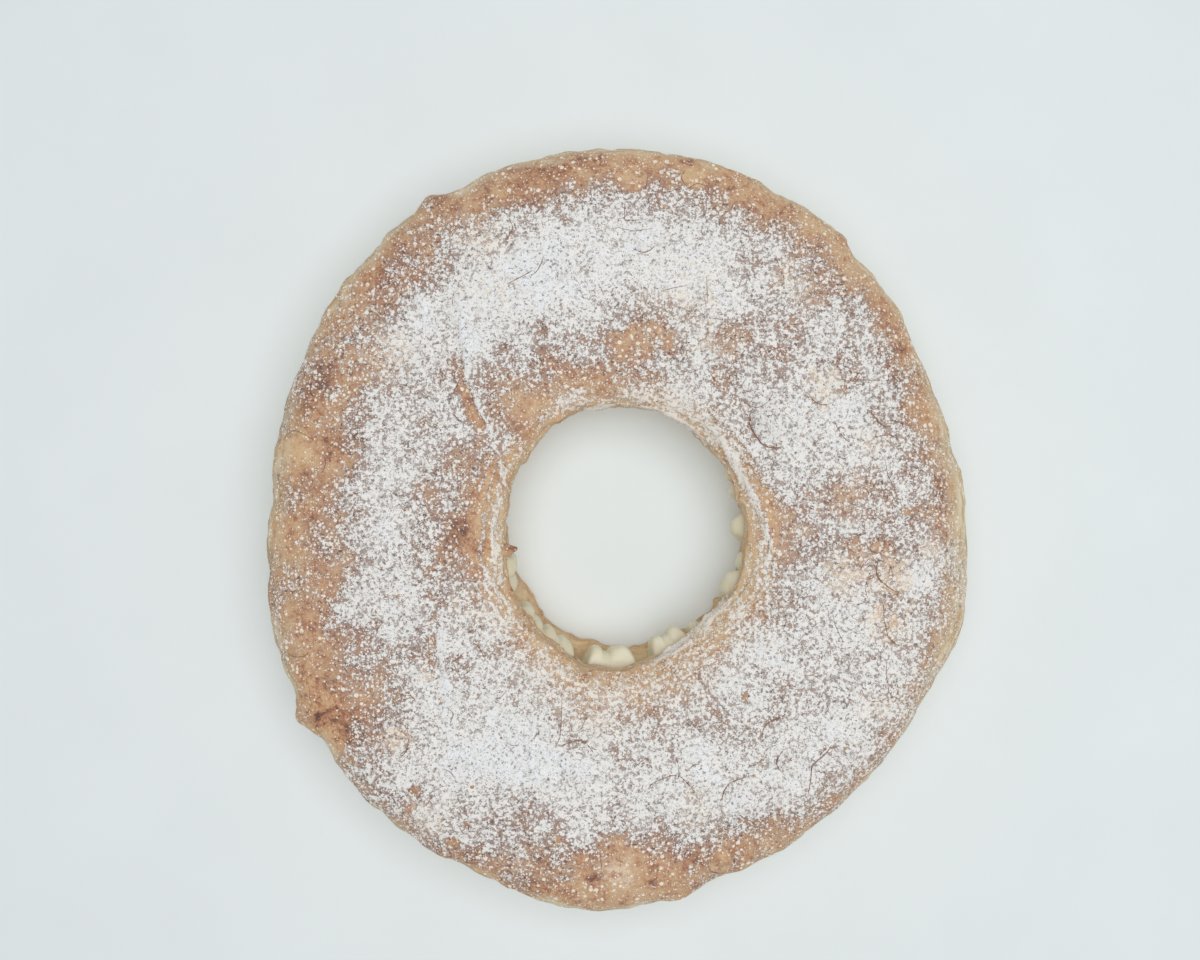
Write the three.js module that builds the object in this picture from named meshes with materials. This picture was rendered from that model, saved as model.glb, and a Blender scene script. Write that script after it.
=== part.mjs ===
// A puff pastry ring: a baked base ring, a layer of piped cream, and a puffed lid ring.
// Millimetres, +Z up. The origin is under the middle of the ring, on the surface it stands on.
// Seen from above, +X is right and +Y is away. Angles run anticlockwise from +X, in degrees.
import * as THREE from "three";
import { ParametricGeometry } from "three/addons/geometries/ParametricGeometry.js";
import { mergeVertices } from "three/addons/utils/BufferGeometryUtils.js";

// Overall size
const RING_WIDTH = 278;
const RING_LENGTH = 303;
const HOLE_WIDTH = 98;
const HOLE_LENGTH = 105;
const HOLE_CENTRE = { x: 2.4, y: -3 };
const BASE_HEIGHT = 14;
const CREAM_HEIGHT = 12;
const LID_HEIGHT = 20;
const LAYER_GAP = 0.3;

// How far the baked edge strays from the ellipse, as lobes round the ring
const EDGE_LOBES = [
  { at: 25, spread: 15, out: -3.4 },
  { at: 46, spread: 7, out: -1.0 },
  { at: 134, spread: 26, out: 3.0 },
  { at: 198, spread: 15, out: 3.4 },
  { at: 227, spread: 10, out: 1.6 },
  { at: 236, spread: 7, out: -1.0 },
  { at: 250, spread: 7, out: -2.6 },
  { at: 291, spread: 9, out: -1.3 },
  { at: 303, spread: 26, out: -6.6 },
  { at: 333, spread: 6, out: -1.6 },
  { at: 345, spread: 9, out: 3.0 },
];
// Notches between the swellings of the edge
const EDGE_NOTCHES = [
  { at: 14, spread: 3, out: -0.8 },
  { at: 30, spread: 3, out: -0.7 },
  { at: 49, spread: 2.6, out: -1.2 },
  { at: 65, spread: 3, out: -1.3 },
  { at: 115, spread: 3, out: -1.2 },
  { at: 132, spread: 2.4, out: -1.1 },
  { at: 152, spread: 2.4, out: -0.5 },
  { at: 175, spread: 2.6, out: -1.8 },
  { at: 187, spread: 2.4, out: -1.4 },
  { at: 206, spread: 2.4, out: -0.5 },
  { at: 216, spread: 2.6, out: -0.6 },
  { at: 230, spread: 2.2, out: -1.2 },
  { at: 244, spread: 2.2, out: -1.2 },
  { at: 275, spread: 2.6, out: -1.3 },
  { at: 286, spread: 3.2, out: -2.4 },
];
// Hard brown nubs of dough that stand out of the lid's edge, and a flake that hangs into the hole
const EDGE_NUBS = [
  { at: 52.5, spread: 1.6, out: 2.0 },
  { at: 119.5, spread: 2.4, out: 3.2 },
  { at: 210.5, spread: 2.6, out: 5.2 },
];
const HOLE_NUBS = [{ at: 188.5, spread: 3, out: -3.6 }];
const NUB_HALF_HEIGHT = 7;
const HOLE_LOBES = [
  { at: 0, spread: 10, out: -1.2 },
  { at: 15, spread: 7, out: -1.8 },
  { at: 45, spread: 16, out: -0.6 },
  { at: 118, spread: 16, out: 2.6 },
  { at: 153, spread: 10, out: 0.8 },
  { at: 182, spread: 16, out: -1.2 },
  { at: 236, spread: 16, out: -1.5 },
  { at: 248, spread: 11, out: 1.2 },
  { at: 297, spread: 20, out: -4.4 },
  { at: 319, spread: 13, out: -3.3 },
  { at: 344, spread: 9, out: -1.1 },
];

// Lid: its belt is the height of its widest line above its underside
const LID_BELT = 6;
const LID_ROUNDING = { top: 3, under: 6 };
const LID_STEPS = { round: 144, top: 16, under: 6 };
// On the right the outer side leans, so that its foot stands out past its shoulder
const LID_LEAN = { at: 358, spread: 30, out: 9 };
// Slow rises and dips of the crown, by angle: dips lie to the left, the right and the back
const CROWN_WAVES = [
  { waves: 3, top: 37, rise: 0.9 },
  { waves: 5, top: 28, rise: 0.7 },
];
// Blisters where the top layer has lifted, placed by eye
const BLISTERS = [
  { x: 62, y: 41, radius: 14, rise: 3.2 },
  { x: 30, y: 138, radius: 8, rise: 2.2 },
  { x: 4, y: 136, radius: 8, rise: 1.8 },
  { x: 8, y: 115, radius: 9, rise: 1.6 },
  { x: 104, y: -18, radius: 10, rise: 2.2 },
  { x: 90, y: 2, radius: 7, rise: 1.6 },
  { x: 82, y: -92, radius: 11, rise: 2.4 },
  { x: 62, y: -90, radius: 10, rise: 2.0 },
  { x: 42, y: -131, radius: 9, rise: 2.2 },
  { x: -15, y: -86, radius: 10, rise: 1.8 },
  { x: -84, y: -82, radius: 11, rise: 2.2 },
  { x: -130, y: 30, radius: 10, rise: 2.0 },
  { x: -75, y: 62, radius: 13, rise: 2.6 },
  { x: -72, y: -40, radius: 13, rise: 2.4 },
  { x: -98, y: 4, radius: 12, rise: 2.0 },
  { x: 100, y: 52, radius: 11, rise: 2.0 },
];
// Folds that run down towards the hole
const CREASES = [
  { from: { x: -69, y: 88 }, to: { x: -51, y: 40 }, halfWidth: 6, depth: 2.2 },
  { from: { x: 39, y: 60 }, to: { x: 57, y: 32 }, halfWidth: 5, depth: 1.8 },
];

// Base: the flat bottom is what is left of a rounded section, cut at the floor
const BASE_BELT = 7;
const BASE_ROUNDING = 5;
const BASE_FLATTENING = 1.1;
const BASE_STEPS = { round: 84, top: 6, under: 6 };
const BASE_INSET = 1.2;
// Its hole is wider than the lid's, lies further back, and shows in front and to the left
const BASE_HOLE_SPREAD = 2;
const BASE_HOLE_SHIFT = { x: 0, y: 3.5 };
const BASE_HOLE_LOBES = [
  { at: 216, spread: 15, out: -3.8 },
  { at: 236, spread: 16, out: 1.5 },
  { at: 257, spread: 20, out: -5.2 },
  { at: 318, spread: 14, out: 3.4 },
];

// Cream: the blunt ridges of piped stars, side by side along the hole and along the outer edge.
// show is how far a ridge stands out past the lid, into the hole; half is half of its width.
// Most ridges along the hole come in pairs on one broad swelling.
const INNER_RIDGES = [
  { at: 1, half: 6.4, show: 4.4 },
  { at: 18.5, half: 3.6, show: 1.6 },
  { at: 26.5, half: 3.4, show: 1.6 },
  { at: 197.5, half: 6.6, show: 3.8 },
  { at: 206, half: 4.6, show: 2.2 },
  { at: 221.5, half: 5, show: 2.6 },
  { at: 228.5, half: 4.6, show: 1.6 },
  { at: 225, half: 7, show: 1.2 },
  { at: 236.5, half: 4.8, show: 2.9 },
  { at: 245, half: 5.4, show: 3.9 },
  { at: 241, half: 7.5, show: 2.0 },
  { at: 259.4, half: 4.2, show: 6.6 },
  { at: 269.8, half: 7, show: 7.5 },
  { at: 264.5, half: 7, show: 4.8 },
  { at: 288.3, half: 4.4, show: 6.3 },
  { at: 297.4, half: 4.8, show: 5.8 },
  { at: 292.8, half: 6.8, show: 4.2 },
  { at: 307.5, half: 3.6, show: 2.0 },
  { at: 318, half: 5, show: -1.5 },
  { at: 334, half: 7.4, show: 4.4 },
  { at: 346, half: 5, show: 1.2 },
];
// At the back of the hole the ridges stay under the lid
const BACK_RIDGES = { from: 36, to: 191, count: 17, half: 6.4, show: -1 };
const OUTER_RIDGES = { from: 0, to: 356, count: 90, half: 2.7, show: 0 };
const OUTER_INSET = 4;
const RIDGE_SWIRL = 1.4;
const LAYER_SETBACK = 5;
const CREAM_ROUND_STEPS = 320;
// The side of the cream from its foot to its top: the height, and how far the ridges bulge there
const CREAM_LEVELS = [
  { height: -1, bulge: 0.45 },
  { height: -0.6, bulge: 0.96 },
  { height: 0.6, bulge: 0.96 },
  { height: 1, bulge: 0.45 },
];

const CREAM_BOTTOM = BASE_HEIGHT + LAYER_GAP;
const CREAM_MIDDLE = CREAM_BOTTOM + CREAM_HEIGHT / 2;
const LID_BOTTOM = CREAM_BOTTOM + CREAM_HEIGHT + LAYER_GAP;
const MEAN_HALF_BAND = (RING_WIDTH + RING_LENGTH - HOLE_WIDTH - HOLE_LENGTH) / 8;

const radians = THREE.MathUtils.degToRad;

function angleApart(angle, at) {
  return ((((angle - at) % 360) + 540) % 360) - 180;
}

function lobe(angle, { at, spread, out }) {
  return out * Math.exp(-((angleApart(angle, at) / spread) ** 2));
}

function sumOfLobes(angle, lobes) {
  return lobes.reduce((sum, item) => sum + lobe(angle, item), 0);
}

function ellipseRadius(angle, width, length) {
  const a = radians(angle);
  return 1 / Math.hypot(Math.cos(a) / (width / 2), Math.sin(a) / (length / 2));
}

function towards(angle, { x, y }) {
  return x * Math.cos(radians(angle)) + y * Math.sin(radians(angle));
}

function outerRadius(angle) {
  return (
    ellipseRadius(angle, RING_WIDTH, RING_LENGTH) +
    sumOfLobes(angle, EDGE_LOBES) +
    sumOfLobes(angle, EDGE_NOTCHES)
  );
}

function holeRadius(angle) {
  return (
    ellipseRadius(angle, HOLE_WIDTH, HOLE_LENGTH) +
    towards(angle, HOLE_CENTRE) +
    sumOfLobes(angle, HOLE_LOBES)
  );
}

// Half of a ring's section, a superellipse arc from one edge of the band to the other
class SectionArc extends THREE.Curve {
  constructor(height, rounding, start) {
    super();
    this.height = height;
    this.rounding = rounding;
    this.start = start;
  }

  getPoint(t, target = new THREE.Vector2()) {
    const turn = this.start + Math.PI * t;
    const bent = (value) => Math.sign(value) * Math.abs(value) ** (2 / this.rounding);
    return target.set(MEAN_HALF_BAND * bent(Math.cos(turn)), this.height * bent(Math.sin(turn)));
  }
}

// A closed section: the top arc from the outer edge to the inner one, and the under arc back.
// across runs from -1 at the hole to 1 at the outer edge; lift is the height from the belt.
function ringSection(topPoints, underPoints) {
  return [...topPoints.slice(0, -1), ...underPoints.slice(0, -1)].map((point) => ({
    across: point.x / MEAN_HALF_BAND,
    lift: point.y,
  }));
}

// Only the places of the corners are kept, and corners that coincide become one
function closedGeometry(geometry) {
  geometry.deleteAttribute("normal");
  geometry.deleteAttribute("uv");
  return mergeVertices(geometry);
}

// Sweeps a section round the ring. place(angle, point, target) puts each point in space.
function ringGeometry(section, roundSteps, place) {
  const surface = (u, v, target) => {
    const step = Math.round(u * roundSteps) % roundSteps;
    const point = section[Math.round(v * section.length) % section.length];
    place((360 * step) / roundSteps, point, target);
  };
  return closedGeometry(new ParametricGeometry(surface, roundSteps, section.length));
}

function polar(target, angle, radius, height) {
  const a = radians(angle);
  return target.set(radius * Math.cos(a), radius * Math.sin(a), height);
}

function crownRelief(angle, x, y) {
  const waves = CROWN_WAVES.reduce(
    (sum, wave) => sum + wave.rise * Math.cos(radians(wave.waves * (angle - wave.top))),
    0,
  );
  const blisters = BLISTERS.reduce((sum, blister) => {
    const share = Math.hypot(x - blister.x, y - blister.y) / blister.radius;
    return sum + blister.rise * Math.max(0, 1 - share ** 2) ** 1.5;
  }, 0);
  return waves + blisters - creaseDepth(x, y);
}

function creaseDepth(x, y) {
  const spot = new THREE.Vector3(x, y, 0);
  return CREASES.reduce((sum, { from, to, halfWidth, depth }) => {
    const line = new THREE.Line3(new THREE.Vector3(from.x, from.y), new THREE.Vector3(to.x, to.y));
    const nearest = line.closestPointToPoint(spot, true, new THREE.Vector3());
    return sum + depth * Math.exp(-((nearest.distanceTo(spot) / halfWidth) ** 2));
  }, 0);
}

function lidGeometry() {
  const rise = LID_HEIGHT - LID_BELT;
  const section = ringSection(
    new SectionArc(rise, LID_ROUNDING.top, 0).getSpacedPoints(LID_STEPS.top),
    new SectionArc(LID_BELT, LID_ROUNDING.under, Math.PI).getPoints(LID_STEPS.under),
  );
  return ringGeometry(section, LID_STEPS.round, (angle, { across, lift }, target) => {
    const inner = holeRadius(angle);
    const outer = outerRadius(angle);
    const topShare = Math.max(0, lift / rise);
    const outerShare = Math.max(0, across) ** 3;
    const innerShare = Math.max(0, -across) ** 3;
    const nearBelt = Math.max(0, 1 - Math.abs(lift) / NUB_HALF_HEIGHT);
    const radius =
      (outer + inner) / 2 +
      ((outer - inner) / 2) * across -
      lobe(angle, LID_LEAN) * topShare * outerShare +
      sumOfLobes(angle, EDGE_NUBS) * nearBelt * outerShare +
      sumOfLobes(angle, HOLE_NUBS) * nearBelt * innerShare;
    polar(target, angle, radius, 0);
    target.z = LID_BOTTOM + LID_BELT + lift + topShare ** 2 * crownRelief(angle, target.x, target.y);
  });
}

function baseHoleRadius(angle) {
  return (
    holeRadius(angle) +
    BASE_HOLE_SPREAD +
    towards(angle, BASE_HOLE_SHIFT) +
    sumOfLobes(angle, BASE_HOLE_LOBES)
  );
}

function baseGeometry() {
  const section = ringSection(
    new SectionArc(BASE_HEIGHT - BASE_BELT, BASE_ROUNDING, 0).getPoints(BASE_STEPS.top),
    new SectionArc(BASE_BELT, BASE_ROUNDING, Math.PI).getPoints(BASE_STEPS.under),
  );
  return ringGeometry(section, BASE_STEPS.round, (angle, { across, lift }, target) => {
    const inner = baseHoleRadius(angle);
    const outer = outerRadius(angle) - BASE_INSET;
    const height = BASE_BELT + lift * BASE_FLATTENING;
    const radius = (outer + inner) / 2 + ((outer - inner) / 2) * across;
    polar(target, angle, radius, THREE.MathUtils.clamp(height, 0, BASE_HEIGHT));
  });
}

// A row of like ridges, evenly spaced from one angle to another
function ridgeRow({ from, to, count, half, show }) {
  return Array.from({ length: count }, (_, k) => ({
    at: from + ((to - from) * k) / (count - 1),
    half,
    show,
  }));
}

// How far a row of ridges reaches from its joining layer, at an angle and a height from -1 to 1
function ridgeReach(angle, height, ridges) {
  return ridges.reduce((reach, { at, half, show }) => {
    const share = angleApart(angle, at + RIDGE_SWIRL * height) / half;
    return Math.max(reach, (LAYER_SETBACK + show) * Math.sqrt(Math.max(0, 1 - Math.abs(share) ** 3)));
  }, 0);
}

function creamGeometry() {
  const rows = {
    inner: [...INNER_RIDGES, ...ridgeRow(BACK_RIDGES)],
    outer: ridgeRow(OUTER_RIDGES),
  };
  const outerSide = CREAM_LEVELS.map((level) => ({ ...level, row: "outer" }));
  const innerSide = CREAM_LEVELS.map((level) => ({ ...level, row: "inner" })).reverse();
  const section = [...outerSide, ...innerSide];
  return ringGeometry(section, CREAM_ROUND_STEPS, (angle, { height, bulge, row }, target) => {
    const reach = bulge * ridgeReach(angle, height, rows[row]);
    const outer = outerRadius(angle) - OUTER_INSET - LAYER_SETBACK + reach;
    const inner = holeRadius(angle) + LAYER_SETBACK - reach;
    const radius = row === "outer" ? outer : inner;
    polar(target, angle, radius, CREAM_MIDDLE + (height * CREAM_HEIGHT) / 2);
  });
}

function pastryMaterial(colour) {
  return new THREE.MeshStandardMaterial({ color: colour, roughness: 0.75, metalness: 0 });
}

function creamMaterial() {
  return new THREE.MeshStandardMaterial({ color: 0xe9e2c4, roughness: 0.5, metalness: 0 });
}

function namedMesh(name, geometry, material) {
  geometry.computeVertexNormals();
  const mesh = new THREE.Mesh(geometry, material);
  mesh.name = name;
  return mesh;
}

// The layers are stacked, then move together so that the origin is under the middle of their box
const layers = new THREE.Group();
layers.add(
  namedMesh("base_pastry", baseGeometry(), pastryMaterial(0xc39660)),
  namedMesh("cream_filling", creamGeometry(), creamMaterial()),
  namedMesh("lid_pastry", lidGeometry(), pastryMaterial(0xc79a68)),
);
const middle = new THREE.Box3().setFromObject(layers).getCenter(new THREE.Vector3());
layers.position.set(-middle.x, -middle.y, 0);

const puffPastryRing = new THREE.Group();
puffPastryRing.add(layers);

export default puffPastryRing;
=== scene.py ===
# The looks of a puff pastry ring: a blistered lid dusted with icing sugar, piped cream and a baked base.
# Lengths are millimetres until a mesh is made. Seen from above, +X is right and +Y is away.
# Angles are degrees, anticlockwise from +X.
# A value named WAVER is an unevenness: about how much, how wide its lumps are, a seed and octaves of noise.
# A value named FADE is where a change starts and where it is complete.
import math

import bpy
import numpy as np
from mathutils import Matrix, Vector
from mathutils.bvhtree import BVHTree


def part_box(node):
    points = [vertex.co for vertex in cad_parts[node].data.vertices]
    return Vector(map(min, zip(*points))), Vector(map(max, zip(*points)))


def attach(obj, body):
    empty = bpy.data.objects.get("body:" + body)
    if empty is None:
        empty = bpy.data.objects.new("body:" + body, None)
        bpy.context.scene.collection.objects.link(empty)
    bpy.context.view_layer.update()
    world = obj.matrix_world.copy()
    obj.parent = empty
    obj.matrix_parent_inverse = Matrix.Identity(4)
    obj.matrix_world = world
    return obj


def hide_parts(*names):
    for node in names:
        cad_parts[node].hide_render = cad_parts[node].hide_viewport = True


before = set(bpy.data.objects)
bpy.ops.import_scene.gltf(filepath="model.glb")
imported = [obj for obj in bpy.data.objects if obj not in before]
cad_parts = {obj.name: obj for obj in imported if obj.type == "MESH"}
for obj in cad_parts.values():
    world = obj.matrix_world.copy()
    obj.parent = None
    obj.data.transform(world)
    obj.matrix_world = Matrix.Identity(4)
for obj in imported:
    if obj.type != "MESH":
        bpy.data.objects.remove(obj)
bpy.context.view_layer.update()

MM = 0.001
SEED = 7
FACE_LIMIT = 97_000
SECTION_SAMPLES = 6001

# The ring's outline, as in the solids: a row of lobes is where, how wide and how far out
RING_WIDTH = 278
RING_LENGTH = 303
HOLE_WIDTH = 98
HOLE_LENGTH = 105
HOLE_CENTRE = (2.4, -3)
EDGE_LOBES = (
    (25, 15, -3.4), (46, 7, -1), (134, 26, 3), (198, 15, 3.4), (227, 10, 1.6), (236, 7, -1),
    (250, 7, -2.6), (291, 9, -1.3), (303, 26, -6.6), (333, 6, -1.6), (345, 9, 3),
)
EDGE_NOTCHES = (
    (14, 3, -0.8), (30, 3, -0.7), (49, 2.6, -1.2), (65, 3, -1.3), (115, 3, -1.2), (132, 2.4, -1.1),
    (152, 2.4, -0.5), (175, 2.6, -1.8), (187, 2.4, -1.4), (206, 2.4, -0.5), (216, 2.6, -0.6),
    (230, 2.2, -1.2), (244, 2.2, -1.2), (275, 2.6, -1.3), (286, 3.2, -2.4),
)
EDGE_NUBS = ((52.5, 1.6, 2), (119.5, 2.4, 3.2), (210.5, 2.6, 5.2))
HOLE_NUBS = ((189.8, 2.6, -5.4),)
NUB_HALF_HEIGHT = 7
HOLE_LOBES = (
    (0, 10, -1.2), (15, 7, -1.8), (45, 16, -0.6), (118, 16, 2.6), (153, 10, 0.8), (182, 16, -1.2),
    (236, 16, -1.5), (248, 11, 1.2), (297, 20, -4.4), (319, 13, -3.3), (344, 9, -1.1),
)
HALF_BAND = (RING_WIDTH + RING_LENGTH - HOLE_WIDTH - HOLE_LENGTH) / 8

# Lid
LID_HEIGHT = 20
LID_BELT = 6
LID_RISE = LID_HEIGHT - LID_BELT
# How square its section is on top and below, and the size of its faces at the sides, on top and below
LID_ROUNDINGS = (3, 6)
LID_STEPS = (0.65, 1.08, 6)
# Where the sides with their small faces start across the band, from -1 to 1, and on the lid at the hole
SIDE_FROM = 0.92
LID_INNER_FROM = -0.66
# How far in the top of the rim leans
LID_LEAN = ((358, 30, 9),)
# Waves of the crown: how many, where one is highest, and how high
CROWN_WAVES = ((3, 37, 0.9), (5, 28, 0.7))
CROWN_WAVERS = ((0.45, 12, 51, 4), (0.16, 3, 57, 2))

# Blisters that show: x, y, radius, rise, and the stretch of edge where the skin has lifted as a lip
BLISTERS = (
    (29.6, 138.8, 5, 1.4, 140, 240), (5.6, 138.4, 5.5, 1.2, 290, 380), (8.8, 116.4, 7.2, 1.3, 235, 315),
    (-48.4, 118.8, 6.4, 1.2, 290, 390), (-37, 106.8, 7, 1.1, 290, 370), (61.8, 43.6, 10.8, 2.6, 155, 280),
    (80, 57.6, 8, 1.3, 200, 295), (92.8, 43.6, 9, 1.2, 180, 245), (104.8, 48.4, 7.2, 1.4, 170, 280),
    (103.2, 30.8, 7, 1.2, 45, 140), (112, 22.6, 6, 1, 165, 190), (92, -4.8, 3, 0.9, 60, 330),
    (100.4, -5.2, 3, 0.9, 150, 420), (92.8, 1.6, 2.8, 0.7, 250, 400), (110, -13.6, 9.6, 2, 155, 270),
    (110.8, -37.2, 7, 1.3, 200, 255), (86.8, -94.4, 12, 2.3, 120, 140), (66.8, -89.2, 5.6, 1.3, 95, 235),
    (-17.2, -89.2, 8, 1.6, 25, 135), (20, -104.4, 9.6, 1.7, 15, 155), (16.8, -92.4, 6.4, 0.9, -35, 50),
    (30.4, -94.4, 4, 0.7, 55, 145), (52.8, -102.4, 10, 1.3, 225, 305), (39.6, -129.6, 5, 1.6, 170, 310),
    (-88, -82.4, 5.6, 1.3, 295, 420), (-84, -68.4, 5, 1, 15, 145), (-126.5, 32.5, 6.8, 1.3, 35, 150),
    (-75, 62, 13, 2, 320, 350), (-98, 4, 12, 1.4, 100, 130), (-72, -40, 13, 1.6, 300, 330),
    (64, -80.2, 8.6, 1.2, 80, 180), (64.6, -90.6, 9.2, 0.8, 110, 195), (52, -107, 12.6, 1.3, 90, 190),
    (-41.6, -101.6, 8.4, 1.3, 285, 350), (-60.4, -51, 8, 1.2, 10, 75),
)
# Those of them whose skin is smooth and bare of sugar, with a pale rim
BALD_BLISTERS = (0, 1, 23, 26)
# Further small ones, spread by chance
CHANCE_BLISTERS = 70
CHANCE_PLACES = (0.14, 0.9)
CHANCE_RADIUS = (2.2, 6.5)
CHANCE_RISE = 0.17
CHANCE_LIP = (50, 130)
CHANCE_CRESCENT = 0.3
CHANCE_SPACING = 0.75
BLISTER_MARGIN = 4
LIP_RISE = 0.55
LIP_FALL = 2.4
LIP_END_FADE = (-18, 8)
LIP_WOBBLE = 0.035
LIP_BOLDNESS = (0.6, 1.5)
LIP_FULL_RISE = 1.35
# A lip's section: how far out and how far up its three corners lie
LIP_SECTION = ((0.32, -0.2), (0.1, 0.26), (-0.2, -0.12))
LIP_CREST = 0.18
# Its width and height, as shares, at a pointed end and in full
LIP_WIDTH = (0.25, 1)
LIP_HEIGHT = (0.4, 1)
LIP_STEP = 0.9
TORN_STEP = 0.8
# A bare crescent outside a lip: how far out, and half its width
CRESCENT = (0.3, 0.5)
SKIN_FADE = (0.85, 1.1)
SKIN_RIM = 0.7

# Folds of the crust: points along the line, half-width, and how far it stands up (down where negative)
FOLDS = (
    (((-66, 80), (-63, 64), (-55, 43)), 2.4, -1.6),
    (((-61, 88), (-61, 73), (-59, 58), (-51, 40)), 1.3, 1.1),
    (((-67.8, -32), (-70.2, -42), (-69, -54), (-67.8, -62), (-69.3, -70)), 1.1, 0.8),
    (((-71.5, -34), (-73.4, -44), (-72.4, -56), (-71, -64)), 1.6, -0.8),
    (((39, 62), (47, 52), (51, 40)), 3.2, -1.8),
    (((43, 30), (48, 21), (52, 14.6), (56, 6.6), (59, 0), (58, -10)), 1.1, 1.3),
    (((47.6, 28), (53.6, 18), (57, 9)), 1.5, -0.8),
    (((-43, 38.5), (-46, 31), (-45.4, 17.4), (-48.8, 11.6), (-49.3, 2), (-47.8, -7.6), (-46, -20)),
     0.9, 1),
    (((-54, 8), (-54, -2), (-53.6, -11.4), (-49.8, -22), (-41, -30.6)), 0.9, 1.1),
    (((-80, 97), (-77, 90), (-77, 83)), 1.1, 0.8),
    (((40, 100), (40, 90)), 1, 0.5),
    (((-33, -72), (-34, -84), (-33, -96)), 1.1, 0.9),
    (((-28, -76), (-30, -88), (-31, -98)), 1.1, 0.9),
)
FOLD_WAVER = (2.25, 6, 31, 1)
# Spots that the sugar missed: x, y, radius and how much
BARE_SPOTS = (
    (-80, -100.4, 2.2, 0.6), (-65.4, -122.2, 2.8, 0.6), (-14.6, -126, 2, 0.6), (-24.4, -119.4, 1.8, 0.5),
    (49.8, -64.4, 2.2, 0.5), (111.6, 8.4, 1.8, 0.6), (87, 54.6, 1.8, 0.5), (92, -4.8, 2.4, 0.4),
    (100.4, -6.4, 2, 0.4), (-82, -108, 2, 0.5), (-115, -74, 11, 0.85), (-122, -62, 7, 0.6),
)
# Places where a thin film of melted sugar lets golden crust through: x, y, radius and how much
FILMS = (
    (92, -16, 11, 0.8), (108, -16, 7, 1.2), (108, -34, 9, 1), (0, -134, 8, 1.1), (78, 56, 7, 0.9),
    (98, 34, 7, 0.5), (90, 13, 12, 0.5), (122, -3, 7, 0.7), (65, -3, 7, 0.5), (-87, -80, 7, 1.1),
    (-75, -56, 4, 0.8), (-40, -128, 6, 0.6), (30, -107, 9, 0.4), (24, 94, 14, 0.45), (-48, 93, 10, 0.5),
    (-90, 69, 9, 0.6), (-55, 118, 10, 0.5), (-10, -72, 11, 0.5), (70, 96, 10, 0.5), (36, 76, 9, 0.5),
    (-75, -112, 9, 0.5), (-58, -30, 8, 0.4), (100, -70, 7, 0.4),
)
# How the edges of spots and films waver each way, and fade, as shares of the radius
SPOT_WAVERS = ((0.8, 7, 121, 3), (0.8, 7, 125, 3))
SPOT_FADE = (0.4, 1.4)
# Sugar that lies on the very edge of the hole: from, to, and how far in
RIM_SUGAR = ((286, 304, 1.7), (309, 326, 1.7), (46, 82, 0.9), (90, 105, 1.1))
# Thin edges of torn skin: how bold, and points along the line
TORN_EDGES = (
    (1, (2, 127.6), (2, 121.6), (8.4, 121.4)), (0.8, (16, 94), (22, 95.4), (27.6, 96.4)),
    (0.8, (34, 100), (34.4, 89)), (0.6, (-2, 119), (6, 117), (14, 118.4)),
    (1, (103.4, 26.6), (104.4, 22), (107, 17), (108.6, 12.6)),
    (1.1, (-44, 96.6), (-38, 99.6), (-32.6, 102.4)), (0.8, (97.6, -10.4), (95, -13), (93.6, -15.6)),
    (0.9, (101.4, -24.6), (103, -28.6), (103.2, -34), (104.6, -40), (106, -43)),
    (0.7, (83, -31), (84, -36), (86, -40.4), (88, -44)),
    (0.7, (104.2, -50), (104.4, -57), (105.2, -62), (106.8, -66)),
    (1.6, (86.4, -83.2), (82, -84.2), (79.6, -86.8), (76.6, -89.4), (75, -91), (74.4, -98),
     (73.6, -102.4), (75.4, -103.4)),
    (0.8, (71, -55.6), (75.6, -55.8), (79.4, -58)), (0.8, (88.6, -54), (90, -51), (92, -47.6)),
    (0.9, (5.4, -92), (8, -89.4), (11.4, -87)),
    (0.8, (-22.4, -64), (-22.6, -72), (-23, -79), (-25, -84.4)),
    (0.9, (-7.6, -125), (-7, -130), (-7.4, -137)), (0.9, (-66.6, -68.4), (-64.6, -71), (-66.4, -76)),
    (0.8, (-69, -92), (-65.6, -93.6), (-63.4, -97)), (0.8, (-60, -117), (-56, -116.6), (-54, -118.6)),
    (0.8, (-61, -130.4), (-55, -130.4)),
)
# Ruffles that follow the hole's edge: where they are strongest
RUFFLES = ((185, 40, 0.75), (8, 36, 0.65), (300, 20, 0.3), (60, 20, 0.3))
RUFFLE_LEAST = 0.12
RUFFLE_PITCH = 3.2
RUFFLE_START_FADE = (-0.8, 2.2)
RUFFLE_END_FADE = (9, 15)
RUFFLE_WAVER = (1.2, 12, 41, 1)
RUFFLE_BREAK_WAVER = (1.5, 8, 43, 1)
RUFFLE_BREAK_FADE = (-0.5, 0.3)
RUFFLE_CREST = 1.7
RUFFLE_TROUGH = 0.4

# Flaky layers at the sides, broad and fine ones: how deep, how long and how thick
LAYER_THICKNESS = 1.7
LAYERS = ((1.15, 11, LAYER_THICKNESS), (0.575, 4, 1))
LAYER_STRETCH = (0.1, 0.1, 1)
LAYER_FADE = (0.86, 0.98)
LID_LAYER_FADE = (0.55, 0.9)
BASE_LAYER_FADE = (0, 2.5)
LID_EDGE_WAVER = (0.9, 3.2, 64, 1)
BASE_EDGE_WAVER = (0.9, 3.2, 74, 1)

# Base
BASE_HEIGHT = 14
BASE_BELT = 7
BASE_ROUNDINGS = (5, 5)
BASE_STEPS = (0.6, 4, 4)
BASE_ROUND_STEPS = 700
BASE_FLATTENING = 1.1
BASE_INSET = 1.2
BASE_HOLE_SPREAD = 2
BASE_HOLE_SHIFT = (0, 3.5)
BASE_HOLE_LOBES = ((216, 15, -3.8), (236, 16, 1.5), (257, 20, -5.2), (318, 14, 3.4), (323.5, 2.6, -2.6))

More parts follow.
